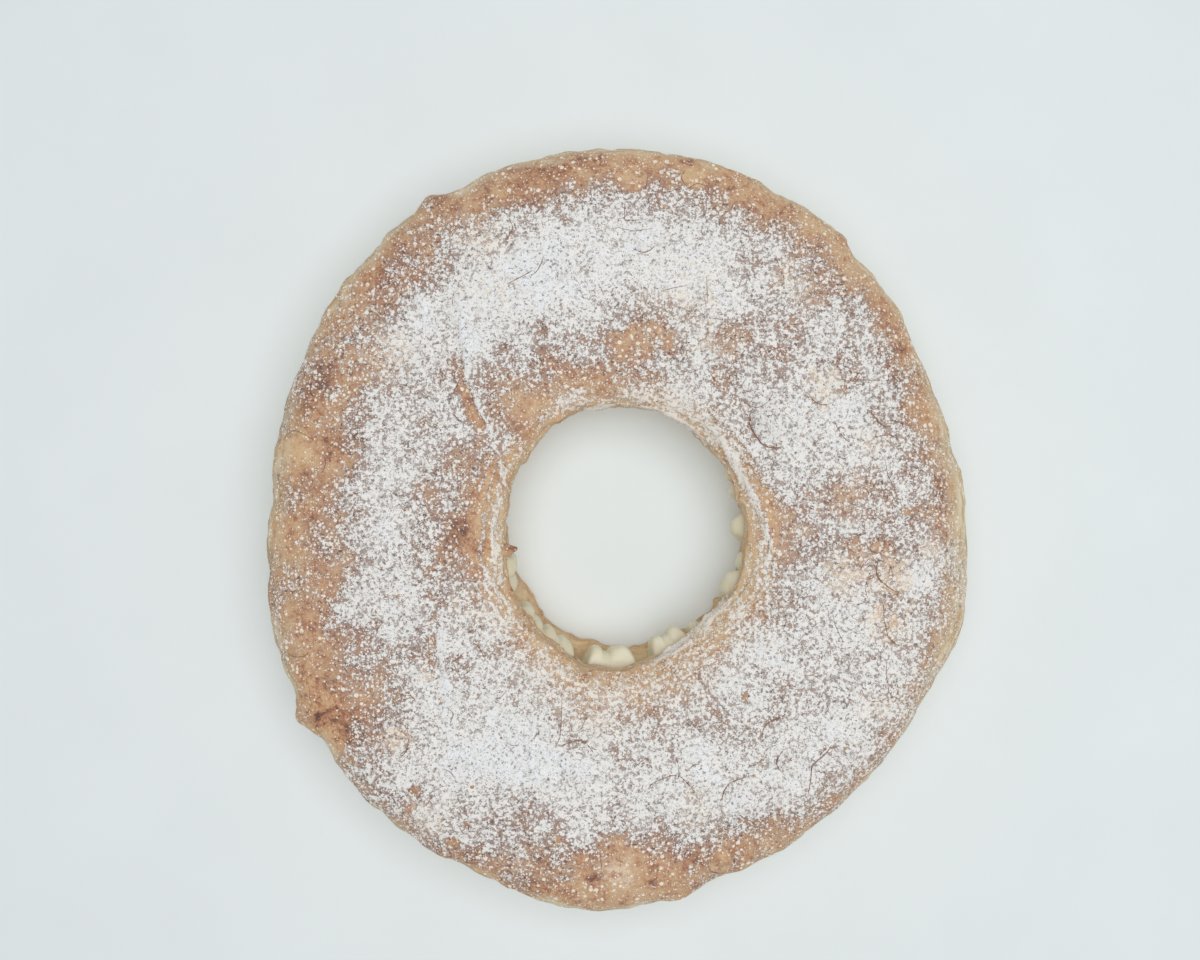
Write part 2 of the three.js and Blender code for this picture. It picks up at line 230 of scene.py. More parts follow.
# Cream: its ridges along the hole, as an angle, half a width and how far they stand out past the lid.
# Most come in pairs on one broad swelling.
CREAM_HEIGHT = 12
CREAM_BITE = 0.35
CREAM_EDGE_BULGE = 0.45
CREAM_WAVER = (0.22, 5, 81, 3)
INNER_RIDGES = (
    (1, 6.4, 4.4), (18.5, 3.6, 1.6), (26.5, 3.4, 1.6), (197.5, 6.6, 3.8), (206, 4.6, 2.2), (221.5, 5, 2.6),
    (228.5, 4.6, 1.6), (225, 7, 1.2), (236.5, 4.8, 2.9), (245, 5.4, 3.9), (241, 7.5, 2),
    (259.4, 4.2, 6.6), (269.8, 7, 7.5), (264.5, 7, 4.8), (288.3, 4.4, 6.3), (297.4, 4.8, 5.8),
    (292.8, 6.8, 4.2), (307.5, 3.6, 2), (318, 5, -1.5), (334, 7.4, 4.4), (346, 5, 1.2),
)
# Rows of like ridges: from, to, how many, half a width and how far they stand out
BACK_RIDGES = (36, 191, 17, 6.4, -1)
OUTER_RIDGES = (0, 356, 90, 2.7, 0)
OUTER_INSET = 4
RIDGE_SWIRL = 1.4
LAYER_SETBACK = 5
CREAM_ROUND_STEPS = 1440
CREAM_SIDE_STEPS = 22

# Icing sugar: how much lies from the hole (0) to the rim (1), and drifts that add to it or take from it.
# A drift is an angle, a place across the band, a width in each, and an amount.
# Its place, its width across the band and its amount are hundredths.
DUST_MOST = 0.8
DUST_MIDDLE = 0.48
DUST_SPREAD = 0.48
DRIFTS = (
    (85, 63, 34, 16, 38), (105, 18, 32, 17, -14), (185, 78, 30, 18, -30), (172, 52, 15, 12, 16),
    (168, 36, 18, 14, -20), (5, 18, 24, 16, -12), (28, 30, 17, 17, 14), (240, 42, 28, 20, 16),
    (232, 85, 14, 16, 24), (316, 77, 42, 15, 26), (150, 74, 15, 16, -12), (3, 48, 14, 24, -18),
    (55, 55, 16, 20, -24), (142, 28, 11, 10, -20), (178, 14, 22, 10, -26), (216, 65, 9, 30, -18),
    (271, 82, 11, 17, -34), (88, 98, 30, 9, -34), (290, 8, 50, 12, 16), (40, 10, 34, 16, 30),
    (230, 10, 30, 14, 6), (120, 55, 10, 14, 20), (145, 12, 12, 10, 10), (95, 3, 40, 6, 22),
    (333, 82, 11, 14, 16), (76, 30, 20, 11, -22), (45, 54, 8, 10, -14), (100, 74, 14, 14, -16),
    (150, 47, 9, 9, -22), (180, 34, 9, 24, -16), (211, 44, 7, 7, -18), (315, 48, 9, 12, -20),
    (8, 45, 12, 30, -8), (352, 43, 14, 10, -10), (30, 13, 8, 7, 12), (46, 14, 7, 7, -26),
    (53, 65, 12, 10, -14), (62, 10, 10, 10, 10), (91, 42, 9, 7, -14), (120, 71, 9, 8, -16),
    (136, 43, 9, 8, -16), (136, 14, 8, 7, 12), (150, 28, 9, 8, 10), (166, 57, 9, 9, -20),
    (195, 50, 10, 14, -15), (195, 80, 9, 9, 10), (210, 22, 9, 12, 14), (256, 85, 9, 8, 10),
    (270, 72, 8, 7, -12), (286, 88, 9, 10, -14), (300, 76, 9, 14, 10), (336, 96, 10, 6, 13),
    (330, 35, 9, 14, 9), (328, 66, 10, 12, -9), (60, 57, 8, 7, -14), (330, 57, 9, 8, -12),
    (315, 10, 8, 8, -14), (150, 5, 8, 5, -20), (210, 14, 8, 7, 14), (104, 15, 11, 6, 14),
    (300, 14, 8, 6, 12), (30, 42, 9, 8, -12), (255, 57, 9, 8, -10), (225, 42, 8, 8, -9),
    (195, 27, 8, 9, -12), (12, 15, 12, 6, -12), (278, 14, 14, 5, -8), (312, 98, 13, 5, -10),
    (314, 87, 13, 5, 10), (178, 3.8, 22, 1.8, 42), (32, 4.2, 18, 2, 40), (118, 5, 13, 3, 16),
    (355, 7, 12, 2, 22), (85, 3, 18, 2, 14), (182, 12, 16, 4, -16), (147, 8, 13, 5, -16),
    (8, 11.5, 12, 2.5, -36), (36, 8.5, 15, 1.8, -14), (318, 9, 13, 5, -12),
)
LEAST_DUST = 0.18
DUST_WAVERS = ((0.26, 15, 111, 4), (0.16, 5, 117, 2))
CREST_DUST = 0.5
CREST_STREAKS = 0.8
CREST_WAVER = (0.7, 6, 137, 2)
DEEPEST_CREASE = -0.45
SLOPE_FADE = (0.1, 0.5)
SKIN_MISSED = 0.6
HOLE_EDGE_WAVER = (0.9, 4, 131, 2)
RIM_SUGAR_FADE = (0.8, 1.3)
RIM_SUGAR_ENDS = 8
BARE_EDGE = 0.4
BARE_EDGE_FADE = (0.6, 2.8)
BARE_CRESCENTS = 0.3
FINE_GRAINS = 48_000
FINE_SIZE = (0.12, 0.32)
COARSE_GRAINS = 23_000
COARSE_SIZE = (0.22, 0.56)
GRAIN_STRETCH = (0.7, 1.35)
GRAIN_JITTER = (0.75, 1.25)
CLUMP_SIZE = 1.8
SPECK_LAYERS = ((2.3, 0.57), (1.6, 0), (1.05, 0.31))
SPECK_RADIUS = (0.18, 0.42)
PIT_SIZE = 1.3
PIT_OFFSET = (0.7, 0.2, 0.4)
FLAKES = 70
FLAKE_SIZE = (0.3, 0.8)
FLAKE_TILT = 0.25
FLAKE_SLOPE_FADE = (0.7, 0.9)
# One fine grain, one coarse grain and one six-sided flake, of size 1
FINE_SHAPE = ((1, 0, -0.25), (-0.5, 0.87, -0.25), (-0.5, -0.87, -0.25), (0, 0, 0.9))
FINE_FACES = ((0, 2, 1), (0, 1, 3), (1, 2, 3), (2, 0, 3))
COARSE_SHAPE = ((1, 0, 0), (0, 1, 0), (-1, 0, 0), (0, -1, 0), (0, 0, 0.75), (0, 0, -0.4))
COARSE_FACES = (
    *((k, (k + 1) % 4, 4) for k in range(4)),
    *(((k + 1) % 4, k, 5) for k in range(4)),
)
FLAKE_TURNS = [math.radians(60 * k) for k in range(6)]
FLAKE_SHAPE = [(math.cos(turn), math.sin(turn), up) for up in (0.16, -0.1) for turn in FLAKE_TURNS]
FLAKE_FACES = (
    *((0, k, k + 1) for k in range(1, 5)),
    *((6, 7 + k, 6 + k) for k in range(1, 5)),
    *((k, 6 + k, (k + 1) % 6) for k in range(6)),
    *((6 + k, 6 + (k + 1) % 6, (k + 1) % 6) for k in range(6)),
)

# Baking, from -1 to 1: broad patches, and bands, which are a place across, a width and how much darker
BAKED_WAVER = (0.5, 20, 91, 4)
BAKED_BANDS = ((0.8, 0.13, 0.12), (0, 0.09, -0.3))
RIM_BAND = (0.94, 0.1, 1)
# Baking of the rim, round the ring
RIM_BAKING = (
    (0, 12, -0.2), (60, 8, -0.15), (90, 14, 0.2), (135, 20, -0.25), (165, 8, 0.15), (212, 10, 0.15),
    (286, 8, 0.25), (346, 8, -0.15),
)
# Baked spots, and one at (49, 59) of painted shade in the hollow of a fold: x, y, radius and how much darker
BAKED_AND_SHADED_SPOTS = (
    (-122, 48, 5, 1), (-110, 33, 5, 0.9), (-101, 36, 4.5, 1), (-116, 61, 5, 0.9), (-92, 98, 5, 0.5),
    (-85, 109, 4, 0.5), (-65, -1, 6.5, 0.9), (126, 16, 7, 0.8), (13, -137, 4, 0.8), (-11, -126, 7, 0.4),
    (-3, 84, 8, 0.5), (49, 59, 5, 0.9), (-23, 143, 8, 0.5), (-5, 143, 4, 0.4), (-115, -72, 9, 0.2),
    (68, -8, 7, 0.4), (100, -58, 6, 0.3), (-40, 120, 6, 0.3), (-42, -7, 3.5, 1.3), (-73, 131, 4, 0.7),
    (-122, -74, 6, 0.2), (-118.4, -72.6, 1, 1.4), (92, 60, 3, 0.5), (108, 58, 4, 0.5),
    (-112, -60, 5, 0.35), (-102, -75, 8, 0.35), (-35, -137, 4, 0.7), (-22, -139, 4, 0.5),
    (-92, -102, 6, 0.5), (63, 17, 4, 0.5), (79, -3, 4, 0.4), (41.5, 26.8, 2.2, 1.2), (-66, 51, 3.6, 1.2),
)

# Unbrowned dough at the sides: how high it reaches, round the ring too, its fade, and its share at the hole.
# On the left it reaches higher, partly as painted light on the steep edge
PALE_EDGE = 6
PALE_AND_LIT_LOBES = ((354, 36, 4), (180, 60, 3.7), (110, 25, 0.9))
PALE_WAVER = (2.1, 9, 101, 1)
PALE_FADE = (-3, 2.5)
PALE_AT_HOLE = 0.35
BROWN_NUB = 1.5
# Golden crust between the sugar: how far from the hole, and round the right of the rim
GOLD_MOST = 0.9
GOLD_REACH = 0.09
GOLD_REACH_LOBES = ((280, 60, 0.1),)
RIM_GOLD = ((355, 40, 0.7),)
RIM_GOLD_BAND = (1, 0.14, 1)
# Colour of crescents, darkened partly as painted shade beside the lifted lips, of bald skins and their rims,
# and of the base at its hole
CRESCENT_SHADE = 0.35
SKIN_BAKE = -0.05
SKIN_PALE = 0.2
RIM_PALE = 0.5
BASE_PALE = 0.55
BASE_HOLE_PALE = -0.2
BASE_HOLE_BAKE = 0.1
BASE_HOLE_REACH = 0.7
BASE_HOLE_FADE = (4, 9)

# Mottling of the crust: lump, detail and roughness of noise, its limits, and what it adds to the baking
CRUST_MOTTLES = (
    (8, 4, 0.6, 0.3, 0.7, -0.7, 0.7), (2.1, 4, 0.7, 0.34, 0.66, -0.55, 0.55),
    (3.2, 3, 0.65, 0.56, 0.66, 0, 0.5), (0.9, 2, 0.6, 0.35, 0.65, -0.25, 0.25),
)

# Colours as seen, from 0 to 255
PALE_DOUGH = (238, 225, 191)
LAYER_GOLD = (208, 176, 130)
GOLDEN_CRUST = (223, 193, 151)
TAN_CRUST = (215, 173, 131)
BROWN_CRUST = (178, 123, 90)
DARK_CRUST = (106, 68, 56)
SHADED_BROWN = (158, 114, 96)
SHADED_GREY = (140, 122, 114)
# Painted shade in pits between the sugar grains, brown and grey; the brown also darkens shaded crust at
# scorched spots
PIT_SHADE_BROWN = (98, 70, 62)
PIT_SHADE_GREY = (142, 136, 134)
# Lip brown is partly baked colour and partly painted shadow along the lifted edges of skin
LIP_SHADED_BROWN = (124, 96, 84)
LIP_TAN = (160, 124, 102)
SUGAR_WHITE = (250, 248, 244)
SUGAR_COOL = (246, 249, 252)
SUGAR_GREY = (240, 240, 238)
SUGAR_CREAM = (250, 236, 215)
CREAM_PALE = (242, 239, 217)
CREAM_DEEP = (234, 228, 199)
FLOOR_WHITE = (232, 239, 240)
FLOOR_GREY = (229, 236, 237)

# The crust's colours from golden to dark, and the baking at both ends
CRUST_STOPS = ((0, GOLDEN_CRUST), (0.4, TAN_CRUST), (0.72, BROWN_CRUST), (1, DARK_CRUST))
CRUST_RANGE = (-0.9, 1.3)
# Ranges of clumps, specks, haze, shaded and scorched crust, and pits of painted shade: from, to, and the
# shares there
CLUMP_RANGE = (0.493, 0.565)
CLUMP_DUST_RANGE = (0, 1, -0.16, 0.16)
SPECK_EDGE_RANGE = (-0.06, 0.06)
HAZE_RANGE = (0.5, 1, 0.04, 0.58)
SHADE_RANGE = (0.08, 0.55, 0, 0.85)
SCORCH_RANGE = (0.4, 1, 0, 0.7)
PIT_RANGE = (0.57, 0.63)
PIT_DUST_RANGE = (0.1, 0.42, 0, 0.85)

# Camera: straight above, as far up as gives the photographed width at the lid's belt
VIEW_WIDTH = 480
CAMERA_ABOVE_BELT = 515
CAMERA_PLACE = (-7.2, 19.6)
SENSOR = 36

# Light: a wide soft lamp above, a little to the right, and an even sky. Metres and watts.
LAMP_PLACE = (0.16, 0.03, 1.5)
LAMP_SIZE = 1.7
LAMP_POWER = 16
SKY_STRENGTH = 0.32
SKY_TINT = (254, 254, 255)
FLOOR_GLOW = 0.08
FLOOR_HALF = 3

rng = np.random.default_rng(SEED)


# Shapes round the ring

def soft_bump(value, middle, width, height):
    return height * np.exp(-(((value - middle) / width) ** 2))


def lobes(angle, rows):
    """The sum of soft bumps round the ring."""
    total = np.zeros_like(angle, dtype=float)
    for at, spread, out in rows:
        apart = (angle - at + 180) % 360 - 180
        total += soft_bump(apart, 0, spread, out)
    return total


def ellipse_radius(angle, width, length):
    turn = np.radians(angle)
    return 1 / np.hypot(np.cos(turn) / (width / 2), np.sin(turn) / (length / 2))


def towards(angle, place):
    return place[0] * np.cos(np.radians(angle)) + place[1] * np.sin(np.radians(angle))


def polar(angle, radius):
    return radius * np.cos(np.radians(angle)), radius * np.sin(np.radians(angle))


def outer_radius(angle):
    edge = ellipse_radius(angle, RING_WIDTH, RING_LENGTH)
    return edge + lobes(angle, EDGE_LOBES) + lobes(angle, EDGE_NOTCHES)


def hole_radius(angle):
    hole = ellipse_radius(angle, HOLE_WIDTH, HOLE_LENGTH)
    return hole + towards(angle, HOLE_CENTRE) + lobes(angle, HOLE_LOBES)


def frame_shift():
    """How far the ring's own centre lies from the frame's origin."""
    angle = np.arange(0, 360, 0.25)
    x, y = polar(angle, outer_radius(angle) + lobes(angle, EDGE_NUBS))
    low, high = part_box("lid_pastry")
    along_x = (low.x + high.x) / 2 / MM - (x.min() + x.max()) / 2
    along_y = (low.y + high.y) / 2 / MM - (y.min() + y.max()) / 2
    return np.array((along_x, along_y, 0.0))


def soft_step(value, low, high):
    share = np.clip((value - low) / (high - low), 0, 1)
    return share * share * (3 - 2 * share)


def noise(x, y, z, seed):
    """Smooth noise from -1 to 1, with lumps of about 1 unit. Each use has a seed of its own."""
    cells = 32
    table = np.random.default_rng(seed).random((cells, cells, cells)) * 2 - 1
    corner = [np.floor(v).astype(int) for v in (x, y, z)]
    share = [soft_step(v - c, 0, 1) for v, c in zip((x, y, z), corner)]
    total = 0
    for step in np.ndindex(2, 2, 2):
        weight = 1
        for part, s in zip(share, step):
            weight = weight * (part if s else 1 - part)
        total = total + weight * table[tuple((c + s) % cells for c, s in zip(corner, step))]
    return total


def waver(x, y, amount, lump, seed, octaves, z=0):
    """Unevenness: noise with finer noise on it, each octave half as strong."""
    total = 0
    for k in range(octaves):
        size = lump / 2**k
        total = total + noise(x / size, y / size, z / size, seed + k) / 2**k
    return amount * (total / 1.5)


def between(limits, share):
    return limits[0] + (limits[1] - limits[0]) * share


# Sections of the pastry rings

def section(rise, drop, roundings, steps, top_inner_from=-SIDE_FROM):
    """A closed section from the outer edge over the top: across, from -1 to 1, and up from the belt."""
    side_step, top_step, under_step = steps
    turn = np.linspace(0, 2 * np.pi, SECTION_SAMPLES)
    over = turn <= np.pi
    power = 2 / np.where(over, *roundings)
    across = np.sign(np.cos(turn)) * np.abs(np.cos(turn)) ** power
    lift = np.sign(np.sin(turn)) * np.abs(np.sin(turn)) ** power * np.where(over, rise, drop)
    inner_from = np.where(over[:-1], top_inner_from, -SIDE_FROM)
    at_side = (across[:-1] > SIDE_FROM) | (across[:-1] < inner_from)
    step = np.where(at_side, side_step, np.where(over[:-1], top_step, under_step))
    length = np.hypot(np.diff(across) * HALF_BAND, np.diff(lift)) / step
    share = np.concatenate(([0], np.cumsum(length)))
    even = np.linspace(0, share[-1], int(share[-1]), endpoint=False)
    return np.interp(even, share, across)[None, :], np.interp(even, share, lift)[None, :]


def turns(steps):
    """Angles round the ring, a row for each."""
    return (np.arange(steps) * 360 / steps)[:, None]


def layer_relief(x, y, z, seed):
    """Thin flaky layers that stand out unevenly, for upright sides."""
    total = 0
    for k, (depth, length, thickness) in enumerate(LAYERS):
        total = total + depth * noise(x / length, y / length, z / thickness, seed + k)
    return total


def outward(across):
    """1 on the outer side, -1 on the inner side and 0 between them."""
    return np.sign(across) * soft_step(np.abs(across), *LAYER_FADE)


# Relief of the lid's top

def chance_blisters():
    """The blisters that show, and further small ones between them."""
    rows = list(BLISTERS)
    while len(rows) < len(BLISTERS) + CHANCE_BLISTERS:
        angle = rng.uniform(0, 360)
        share = rng.uniform(*CHANCE_PLACES)
        radius = between(CHANCE_RADIUS, rng.random() ** 1.6)
        start = rng.uniform(0, 360)
        length = rng.uniform(*CHANCE_LIP)
        inner = hole_radius(np.array(angle))
        x, y = polar(angle, inner + share * (outer_radius(np.array(angle)) - inner))
        if all(math.hypot(x - row[0], y - row[1]) > CHANCE_SPACING * (radius + row[2]) for row in rows):
            rows.append((float(x), float(y), radius, CHANCE_RISE * radius, start, start + length))
    return rows


def lip_window(bearing, start, end):
    middle = (start + end) / 2
    apart = np.abs((bearing - middle + 180) % 360 - 180)
    return 1 - soft_step(apart - (end - start) / 2, *LIP_END_FADE)


def blister_marks(x, y, rows):
    """The rise of the crust at blisters, bare crescents outside lips, bald skins and their rims."""
    rise, bare, skin, rim = np.zeros((4, *x.shape))
    for number, (middle_x, middle_y, radius, height, start, end) in enumerate(rows):
        away = np.hypot(x - middle_x, y - middle_y)
        near = away < radius + BLISTER_MARGIN
        away = away[near]
        bearing = np.degrees(np.arctan2(y[near] - middle_y, x[near] - middle_x))
        window = lip_window(bearing, start, end)
        dome = height * np.clip(1 - (away / radius) ** 2, 0, 1) ** 1.2
        lip = LIP_RISE * window * np.exp((away - radius) / LIP_FALL)
        rise[near] += dome + np.where(away < radius, lip, 0)
        strength = 1 if number < len(BLISTERS) else CHANCE_CRESCENT
        crescent = soft_bump(away - radius, *CRESCENT, strength * window)
        bare[near] = np.maximum(bare[near], crescent)
        if number in BALD_BLISTERS:
            skin[near] = np.maximum(skin[near], 1 - soft_step(away / radius, *SKIN_FADE))
            rim[near] = np.maximum(rim[near], soft_bump(away - radius, 0, SKIN_RIM, window))
    return rise, bare, skin, rim


def distance_to_line(x, y, points):
    best = np.full(x.shape, np.inf)
    for (x0, y0), (x1, y1) in zip(points, points[1:]):
        along = ((x - x0) * (x1 - x0) + (y - y0) * (y1 - y0)) / ((x1 - x0) ** 2 + (y1 - y0) ** 2)
        along = np.clip(along, 0, 1)
        best = np.minimum(best, np.hypot(x - x0 - along * (x1 - x0), y - y0 - along * (y1 - y0)))
    return best


def fold_relief(x, y):
    wander = waver(x, y, *FOLD_WAVER)
    total = np.zeros_like(x)
    for points, half_width, rise in FOLDS:
        away = distance_to_line(x + wander, y - wander, points)
        total += soft_bump(away, 0, half_width, rise)
    return total


def ruffle_relief(angle, from_hole, x, y):
    wave = from_hole / RUFFLE_PITCH + waver(x, y, *RUFFLE_WAVER)
    reach = soft_step(from_hole, *RUFFLE_START_FADE) * (1 - soft_step(from_hole, *RUFFLE_END_FADE))
    broken = soft_step(waver(x, y, *RUFFLE_BREAK_WAVER), *RUFFLE_BREAK_FADE)
    crest = (1 - np.abs(np.sin(np.pi * wave))) ** 1.5
    strength = RUFFLE_LEAST + lobes(angle, RUFFLES)
    return strength * reach * broken * (RUFFLE_CREST * crest - RUFFLE_TROUGH)


def crown_waves(angle):
    return sum(rise * np.cos(np.radians(count * (angle - top))) for count, top, rise in CROWN_WAVES)


def crown_lumps(x, y):
    return sum(waver(x, y, *row) for row in CROWN_WAVERS)


class RingSurface:
    """The points of a ring as arrays: a row for each angle, a column for each point of the section."""

    def __init__(self, angle, across, lift, x, y, z):
        self.angle = np.broadcast_to(angle, x.shape)
        self.across = np.broadcast_to(across, x.shape)
        self.lift = np.broadcast_to(lift, x.shape)
        self.x = x
        self.y = y
        self.z = z

    def points(self):
        return np.stack((self.x, self.y, self.z), axis=-1)

    def normals(self):
        points = self.points()
        along = np.roll(points, -1, 0) - np.roll(points, 1, 0)
        over = np.roll(points, -1, 1) - np.roll(points, 1, 1)
        normal = np.cross(along, over)
        return normal / np.maximum(np.linalg.norm(normal, axis=-1, keepdims=True), 1e-9)


def lid_surface(blisters):
    across, lift = section(LID_RISE, LID_BELT, LID_ROUNDINGS, LID_STEPS, LID_INNER_FROM)
    angle = turns(FACE_LIMIT // across.size)
    inner = hole_radius(angle)
    outer = outer_radius(angle)
    top_share = np.clip(lift / LID_RISE, 0, 1)
    near_belt = np.clip(1 - np.abs(lift) / NUB_HALF_HEIGHT, 0, 1)
    outer_share = np.clip(across, 0, 1) ** 3
    inner_share = np.clip(-across, 0, 1) ** 3
    radius = (outer + inner) / 2 + (outer - inner) / 2 * across
    radius = radius - lobes(angle, LID_LEAN) * top_share * outer_share
    radius = radius + lobes(angle, EDGE_NUBS) * near_belt * outer_share
    radius = radius + lobes(angle, HOLE_NUBS) * near_belt * inner_share
    x, y = polar(angle, radius)
    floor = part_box("lid_pastry")[0].z / MM
    rise, bare, skin, rim = blister_marks(x, y, blisters)
    creases = fold_relief(x, y) + ruffle_relief(angle, radius - inner, x, y)
    relief = crown_waves(angle) + crown_lumps(x, y) + rise + creases
    z = floor + LID_BELT + lift + top_share**2 * relief
    upright = outward(across) * (1 - soft_step(top_share, *LID_LAYER_FADE))
    radius = radius + upright * layer_relief(x, y, z, 61) + inner_share * waver(x, y, *LID_EDGE_WAVER)
    x, y = polar(angle, radius)
    ring = RingSurface(angle, across, lift, x, y, z)
    ring.creases = creases
    ring.bare = bare
    ring.skin = skin
    ring.rim = rim
    return ring


def base_surface():
    rise = BASE_HEIGHT - BASE_BELT
    across, lift = section(rise, BASE_BELT, BASE_ROUNDINGS, BASE_STEPS)
    angle = turns(BASE_ROUND_STEPS)
    inner = hole_radius(angle) + BASE_HOLE_SPREAD
    inner = inner + towards(angle, BASE_HOLE_SHIFT) + lobes(angle, BASE_HOLE_LOBES)
    outer = outer_radius(angle) - BASE_INSET
    radius = (outer + inner) / 2 + (outer - inner) / 2 * across
    height = np.clip(BASE_BELT + lift * BASE_FLATTENING, 0, BASE_HEIGHT) + 0 * radius
    x, y = polar(angle, radius)
    upright = outward(across) * soft_step(height, *BASE_LAYER_FADE)
    radius = radius + upright * layer_relief(x, y, height, 71)
    radius = radius + np.minimum(upright, 0) * waver(x, y, *BASE_EDGE_WAVER)
    x, y = polar(angle, radius)
    return RingSurface(angle, across, lift, x, y, height)


# Piped cream

def ridge_row(start, end, count, half, show):
    return [(at, half, show) for at in np.linspace(start, end, count)]


def ridge_reach(angle, height, ridges):
    """How far a row of ridges reaches from its joining layer, at an angle and a height from -1 to 1."""
    reach = np.zeros(np.broadcast(angle, height).shape)
    for at, half, show in ridges:
        apart = (angle - at - RIDGE_SWIRL * height + 180) % 360 - 180
        blunt = np.sqrt(np.clip(1 - np.abs(apart / half) ** 3, 0, 1))
        reach = np.maximum(reach, (LAYER_SETBACK + show) * blunt)
    return reach


def cream_bulge(height):
    """How far the ridges stand out at a height from -1 to 1: full and blunt, with rounded edges."""
    return CREAM_EDGE_BULGE + (1 - CREAM_EDGE_BULGE) * (1 - np.abs(height) ** 4) ** 0.5


def cream_surface():
    side = np.sin(np.linspace(-0.5, 0.5, CREAM_SIDE_STEPS) * np.pi)
    height = np.concatenate((side, side[::-1]))[None, :]
    outer_side = np.arange(2 * CREAM_SIDE_STEPS)[None, :] < CREAM_SIDE_STEPS
    angle = turns(CREAM_ROUND_STEPS)
    bulge = cream_bulge(height)
    inner_reach = ridge_reach(angle, height, [*INNER_RIDGES, *ridge_row(*BACK_RIDGES)])
    outer_reach = ridge_reach(angle, height, ridge_row(*OUTER_RIDGES))
    inner = hole_radius(angle) + LAYER_SETBACK - bulge * inner_reach
    outer = outer_radius(angle) - OUTER_INSET - LAYER_SETBACK + bulge * outer_reach
    radius = np.where(outer_side, outer, inner)
    low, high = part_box("cream_filling")
    middle = (low.z + high.z) / 2 / MM
    z = middle + height * (CREAM_HEIGHT / 2 + CREAM_BITE) + 0 * radius
    x, y = polar(angle, radius)
    lump = waver(x, y, *CREAM_WAVER, z)
    x, y = polar(angle, radius + np.where(outer_side, lump, -lump))
    return RingSurface(angle, height, height, x, y, z)


# Meshes

def add_object(name, data):
    item = bpy.data.objects.new(name, data)
    bpy.context.scene.collection.objects.link(item)
    return item


def new_piece(name, vertices, faces, material, replaced=None):
    """A mesh piece that rides on the ring, from millimetres."""
    mesh = bpy.data.meshes.new(name)
    mesh.from_pydata((vertices + SHIFT) * MM, [], faces)
    mesh.shade_smooth()
    mesh.materials.append(material)
    piece = add_object(name, mesh)
    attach(piece, "root")
    if replaced:
        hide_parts(replaced)
    return piece


def add_values(piece, name, values):
    layer = piece.data.attributes.new(name, "FLOAT", "POINT")
    layer.data.foreach_set("value", np.asarray(values, dtype=np.float32).ravel())


def grid_faces(rows, columns):
    """The corners of a grid that closes on itself both ways, and their places on a flat sheet."""
    row, column = np.meshgrid(np.arange(rows), np.arange(columns), indexing="ij")
    corners = ((0, 0), (1, 0), (1, 1), (0, 1))
    faces = [(row + r) % rows * columns + (column + c) % columns for r, c in corners]
    places = [np.stack(((row + r) / rows, (column + c) / columns), axis=-1) for r, c in corners]
    return np.stack(faces, axis=-1).reshape(-1, 4), np.stack(places, axis=-2).reshape(-1, 2)


def ring_piece(name, ring, material, replaced):
    rows, columns = ring.x.shape
    faces, places = grid_faces(rows, columns)
    piece = new_piece(name, ring.points().reshape(-1, 3), faces, material, replaced)
    sheet = piece.data.uv_layers.new(name="OFBake")
    sheet.data.foreach_set("uv", places.astype(np.float32).ravel())
    return piece


# How the crust is baked and dusted

def band_share(ring):
    """0 at the hole's edge and 1 at the rim."""
    inner = hole_radius(ring.angle)
    return (np.hypot(ring.x, ring.y) - inner) / (outer_radius(ring.angle) - inner)


def baking_and_shade(ring):
    """From -1, pale and golden, to 1, dark brown, with one spot of painted shade in the hollow of a fold."""
    x, y = ring.x, ring.y
    share = band_share(ring)
    value = waver(x, y, *BAKED_WAVER, ring.z)
    for row in BAKED_BANDS:
        value += soft_bump(share, *row)
    value += lobes(ring.angle, RIM_BAKING) * soft_bump(share, *RIM_BAND)
    for spot_x, spot_y, radius, amount in BAKED_AND_SHADED_SPOTS:
        value += soft_bump(np.hypot(x - spot_x, y - spot_y), 0, radius, amount)
    return value


def pale_and_lit_sides(ring):
    """How unbrowned the crust is: 1 low on the outer side, 0 on top. On the left it reaches higher, partly
    as painted light on the steep edge.
    """
    edge = PALE_EDGE + lobes(ring.angle, PALE_AND_LIT_LOBES)
    edge = edge + waver(ring.x, ring.y, *PALE_WAVER)
    browned = np.clip(lobes(ring.angle, (*EDGE_NUBS, *HOLE_NUBS)) / BROWN_NUB, -1, 1)
    most = np.where(ring.across > 0, 1, PALE_AT_HOLE) * (1 - np.abs(browned))
    return most * (1 - soft_step(ring.lift - edge, *PALE_FADE))


def golden(ring):
    """How golden the crust between the sugar stays: most at the hole's edge and on the right."""
    share = band_share(ring)
    reach = GOLD_REACH + lobes(ring.angle, GOLD_REACH_LOBES)
    at_rim = lobes(ring.angle, RIM_GOLD) * soft_bump(share, *RIM_GOLD_BAND)
    return np.maximum(soft_bump(share, 0, reach, GOLD_MOST), at_rim)


def spots(ring, rows):
    """Soft round spots with wandering edges, the strongest where they meet."""
    wander_x, wander_y = (waver(ring.x, ring.y, *row) for row in SPOT_WAVERS)
    total = np.zeros_like(ring.x)
    for spot_x, spot_y, radius, amount in rows:
        x = ring.x + radius * wander_x - spot_x
        y = ring.y + radius * wander_y - spot_y
        fade = soft_step(np.hypot(x, y) / radius, *SPOT_FADE)
        total = np.maximum(total, amount * (1 - fade))
    return total


def from_hole(ring):
    """How far the crust is from the hole's edge, by a wavering line."""
    away = np.hypot(ring.x, ring.y) - hole_radius(ring.angle)
    return away + waver(ring.x, ring.y, *HOLE_EDGE_WAVER)


def rim_sugar(ring):
    """Sugar on the very edge of the hole."""
    away = from_hole(ring)
    total = np.zeros_like(away)
    for start, end, width in RIM_SUGAR:
        window = lip_window(ring.angle, start - RIM_SUGAR_ENDS, end + RIM_SUGAR_ENDS)
        fade = soft_step(away / width, *RIM_SUGAR_FADE)
        total = np.maximum(total, window * (1 - fade))
    return np.where(ring.lift > 0, total, 0)


